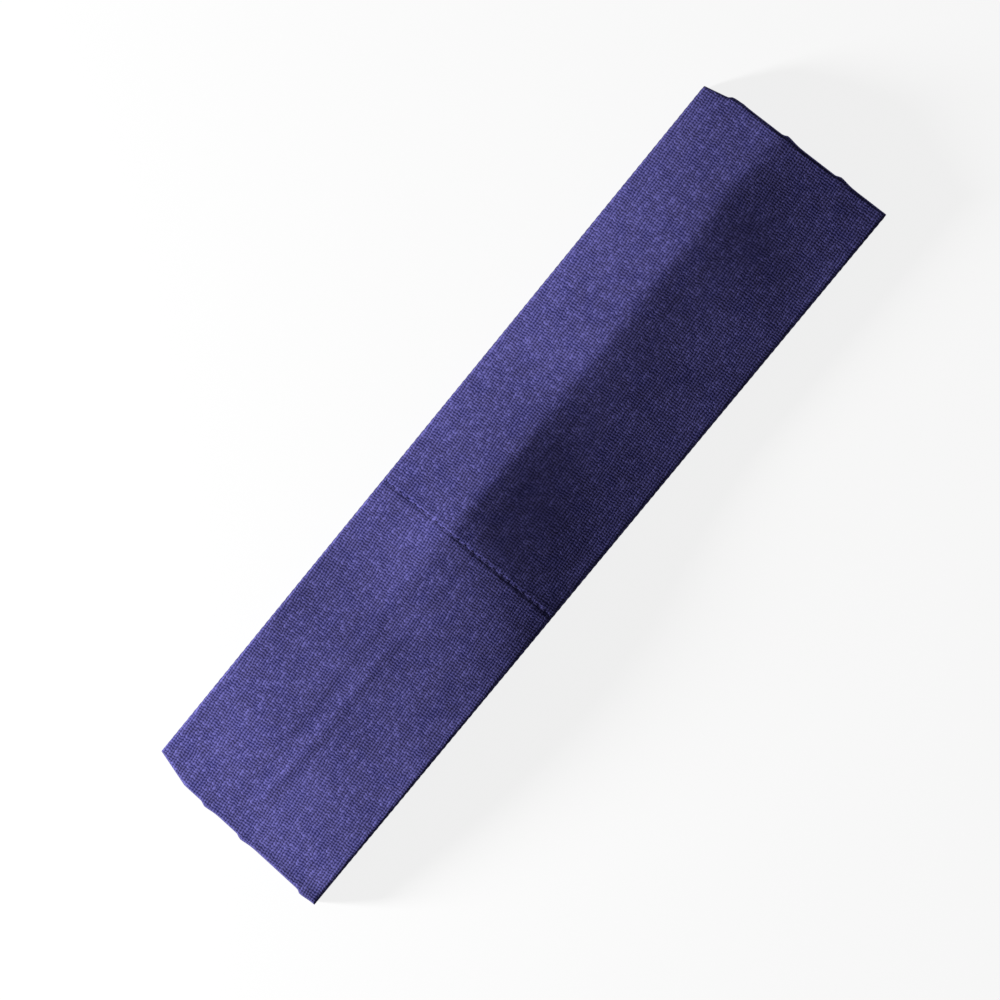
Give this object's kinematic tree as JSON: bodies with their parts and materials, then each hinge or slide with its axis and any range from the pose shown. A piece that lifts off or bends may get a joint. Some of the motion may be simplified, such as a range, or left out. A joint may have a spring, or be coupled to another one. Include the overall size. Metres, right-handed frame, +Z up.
{
  "type": "sweatband",
  "caption": "Knitted double-ply sports sweatband, an endless loop pressed flat with a cross seam; it opens into an oval for the head.",
  "frame": {"origin": "bottom centre of the flat band, on the face that it rests on", "axes": "+X along the flat band, +Y across it towards the edge with the steeper flank, +Z up through the layers"},
  "size_m": [0.24, 0.06, 0.0096],
  "materials": {
    "outer_knit": "matte double knit",
    "lining_knit": "matte double knit, inner face",
    "thread": "spun polyester sewing thread"
  },
  "bodies": {
    "back_1": {"outer_back_1": "outer_knit", "lining_back_1": "lining_knit", "left_edge_thread_back_1": "thread", "right_edge_thread_back_1": "thread", "outer_fold_left": "outer_knit", "lining_fold_left": "lining_knit"},
    "back_2": {"outer_back_2": "outer_knit", "lining_back_2": "lining_knit", "left_edge_thread_back_2": "thread", "right_edge_thread_back_2": "thread"},
    "back_3": {"outer_back_3": "outer_knit", "lining_back_3": "lining_knit", "left_edge_thread_back_3": "thread", "right_edge_thread_back_3": "thread"},
    "back_4": {"outer_back_4": "outer_knit", "lining_back_4": "lining_knit", "left_edge_thread_back_4": "thread", "right_edge_thread_back_4": "thread"},
    "back_5": {"outer_back_5": "outer_knit", "lining_back_5": "lining_knit", "left_edge_thread_back_5": "thread", "right_edge_thread_back_5": "thread"},
    "back_6": {"outer_back_6": "outer_knit", "lining_back_6": "lining_knit", "left_edge_thread_back_6": "thread", "right_edge_thread_back_6": "thread", "outer_fold_right": "outer_knit", "lining_fold_right": "lining_knit"},
    "front_1": {"outer_front_1": "outer_knit", "lining_front_1": "lining_knit", "left_edge_thread_front_1": "thread", "right_edge_thread_front_1": "thread"},
    "front_2": {"outer_front_2": "outer_knit", "lining_front_2": "lining_knit", "left_edge_thread_front_2": "thread", "right_edge_thread_front_2": "thread"},
    "front_3a": {"outer_front_3a": "outer_knit", "lining_front_3a": "lining_knit", "left_edge_thread_front_3a": "thread", "right_edge_thread_front_3a": "thread"},
    "front_3b": {"outer_front_3b": "outer_knit", "lining_front_3b": "lining_knit", "left_edge_thread_front_3b": "thread", "right_edge_thread_front_3b": "thread", "cross_seam_thread": "thread"},
    "front_4": {"outer_front_4": "outer_knit", "lining_front_4": "lining_knit", "left_edge_thread_front_4": "thread", "right_edge_thread_front_4": "thread"},
    "front_5": {"outer_front_5": "outer_knit", "lining_front_5": "lining_knit", "left_edge_thread_front_5": "thread", "right_edge_thread_front_5": "thread"},
    "front_6": {"outer_front_6": "outer_knit", "lining_front_6": "lining_knit", "left_edge_thread_front_6": "thread", "right_edge_thread_front_6": "thread"}
  },
  "joints": [
    {"name": "loop_open", "type": "hinge", "parent": "back_6", "child": "front_6", "pos_m": [0.11755, 0, 0.0023], "axis": [0, 1, 0], "range_deg": [0, 130], "deforming": ["outer_fold_right", "lining_fold_right"]},
    {"name": "bend_back_3_4", "type": "hinge", "parent": "back_3", "child": "back_4", "pos_m": [0, 0, 0.0023], "axis": [0, -1, 0], "range_deg": [0, 26]},
    {"name": "bend_back_4_5", "type": "hinge", "parent": "back_4", "child": "back_5", "pos_m": [0.04, 0, 0.0023], "axis": [0, -1, 0], "range_deg": [0, 26]},
    {"name": "bend_back_5_6", "type": "hinge", "parent": "back_5", "child": "back_6", "pos_m": [0.08, 0, 0.0023], "axis": [0, -1, 0], "range_deg": [0, 26]},
    {"name": "bend_front_6_5", "type": "hinge", "parent": "front_6", "child": "front_5", "pos_m": [0.08, 0, 0.0023], "axis": [0, -1, 0], "range_deg": [0, 26]},
    {"name": "bend_front_5_4", "type": "hinge", "parent": "front_5", "child": "front_4", "pos_m": [0.04, 0, 0.0023], "axis": [0, -1, 0], "range_deg": [0, 26]},
    {"name": "bend_front_4_3b", "type": "hinge", "parent": "front_4", "child": "front_3b", "pos_m": [0, 0, 0.0023], "axis": [0, -1, 0], "range_deg": [0, 26]},
    {"name": "bend_back_3_2", "type": "hinge", "parent": "back_3", "child": "back_2", "pos_m": [-0.04, 0, 0.0023], "axis": [0, 1, 0], "range_deg": [0, 26]},
    {"name": "bend_back_2_1", "type": "hinge", "parent": "back_2", "child": "back_1", "pos_m": [-0.08, 0, 0.0023], "axis": [0, 1, 0], "range_deg": [0, 26]},
    {"name": "fold_left_open", "type": "hinge", "parent": "back_1", "child": "front_1", "pos_m": [-0.11755, 0, 0.0023], "axis": [0, -1, 0], "range_deg": [0, 130], "deforming": ["outer_fold_left", "lining_fold_left"]},
    {"name": "bend_front_1_2", "type": "hinge", "parent": "front_1", "child": "front_2", "pos_m": [-0.08, 0, 0.0023], "axis": [0, 1, 0], "range_deg": [0, 26]},
    {"name": "bend_front_2_3a", "type": "hinge", "parent": "front_2", "child": "front_3a", "pos_m": [-0.04, 0, 0.0023], "axis": [0, 1, 0], "range_deg": [0, 26]}
  ],
  "couplings": [
    {"joint": "bend_back_3_4", "follows": "loop_open", "ratio": 0.2},
    {"joint": "bend_back_4_5", "follows": "loop_open", "ratio": 0.2},
    {"joint": "bend_back_5_6", "follows": "loop_open", "ratio": 0.2},
    {"joint": "bend_front_6_5", "follows": "loop_open", "ratio": 0.2},
    {"joint": "bend_front_5_4", "follows": "loop_open", "ratio": 0.2},
    {"joint": "bend_front_4_3b", "follows": "loop_open", "ratio": 0.2},
    {"joint": "bend_back_3_2", "follows": "loop_open", "ratio": 0.2},
    {"joint": "bend_back_2_1", "follows": "loop_open", "ratio": 0.2},
    {"joint": "fold_left_open", "follows": "loop_open", "ratio": 1},
    {"joint": "bend_front_1_2", "follows": "loop_open", "ratio": 0.2},
    {"joint": "bend_front_2_3a", "follows": "loop_open", "ratio": 0.2}
  ]
}
